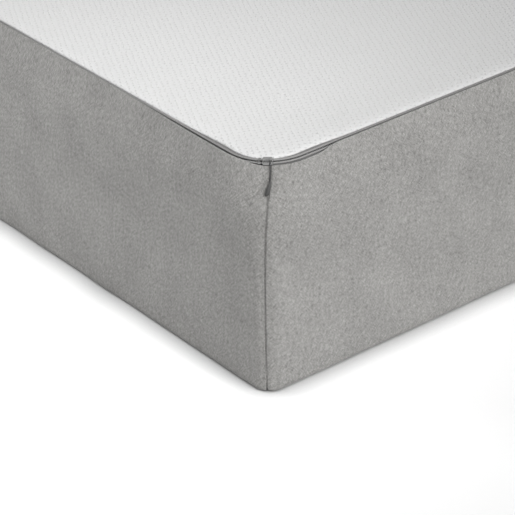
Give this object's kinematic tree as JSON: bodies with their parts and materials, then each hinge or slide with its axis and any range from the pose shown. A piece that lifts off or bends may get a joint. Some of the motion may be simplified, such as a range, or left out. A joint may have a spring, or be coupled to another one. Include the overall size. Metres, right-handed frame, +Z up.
{
  "type": "memory foam mattress",
  "caption": "Double-size foam mattress with layered core, soft knitted top that zips off, and a padded grey border cover.",
  "frame": {"origin": "middle of the base, on the plane that the mattress stands on", "axes": "+Y along the length, +X across the width, +Z up towards the sleeping face; the zip's two ends meet at the +X -Y corner"},
  "size_m": [1.5, 2, 0.25],
  "materials": {
    "border_fabric": "matte",
    "base_fabric": "matte",
    "seam_tape": "matte",
    "top_knit": "matte",
    "wadding": "matte",
    "backing": "matte",
    "label": "satin",
    "support_foam": "matte",
    "transition_foam": "matte",
    "memory_foam": "matte",
    "zip_tape": "matte",
    "zip_coil": "satin",
    "zip_metal": "satin",
    "pull_cord": "matte",
    "pull_tab": "satin"
  },
  "bodies": {
    "lower_cover": {"border_panel_front": "border_fabric", "border_panel_right": "border_fabric", "border_panel_back": "border_fabric", "border_panel_left": "border_fabric", "border_wadding_front": "wadding", "border_wadding_right": "wadding", "border_wadding_back": "wadding", "border_wadding_left": "wadding", "corner_seam_front_right": "border_fabric", "corner_seam_back_right": "border_fabric", "corner_seam_back_left": "border_fabric", "corner_seam_front_left": "border_fabric", "base_panel": "base_fabric", "base_seam_tape": "seam_tape", "zip_tape_lower": "zip_tape", "zip_coil_lower": "zip_coil", "zip_stop_lower": "zip_metal"},
    "foam_core": {"support_foam": "support_foam", "transition_foam": "transition_foam", "memory_foam": "memory_foam"},
    "top_cover": {"top_knit_panel": "top_knit", "top_wadding": "wadding", "top_backing": "backing", "care_label": "label", "zip_tape_upper": "zip_tape", "zip_coil_upper": "zip_coil", "zip_stop_upper": "zip_metal"},
    "zip_slider": {"slider_body": "zip_metal", "slider_bail": "zip_metal"},
    "zip_pull": {"pull_ring": "zip_metal", "pull_cord": "pull_cord", "pull_tab": "pull_tab"}
  },
  "joints": [
    {"name": "core_lift", "type": "slide", "parent": "lower_cover", "child": "foam_core", "axis": [0, 0, 1], "range_m": [0, 0.3]},
    {"name": "top_cover_lift", "type": "slide", "parent": "foam_core", "child": "top_cover", "axis": [0, 0, 1], "range_m": [0, 0.3]},
    {"name": "zip_slider_corner", "type": "hinge", "parent": "lower_cover", "child": "zip_slider", "pos_m": [0.6825, -0.9325, 0.2436], "axis": [0, 0, 1], "range_deg": [0, 41]},
    {"name": "zip_pull_swing", "type": "hinge", "parent": "zip_slider", "child": "zip_pull", "pos_m": [0.72479, -0.96609, 0.24784], "axis": [-0.6561, -0.7547, 0], "range_deg": [0, 205]}
  ]
}
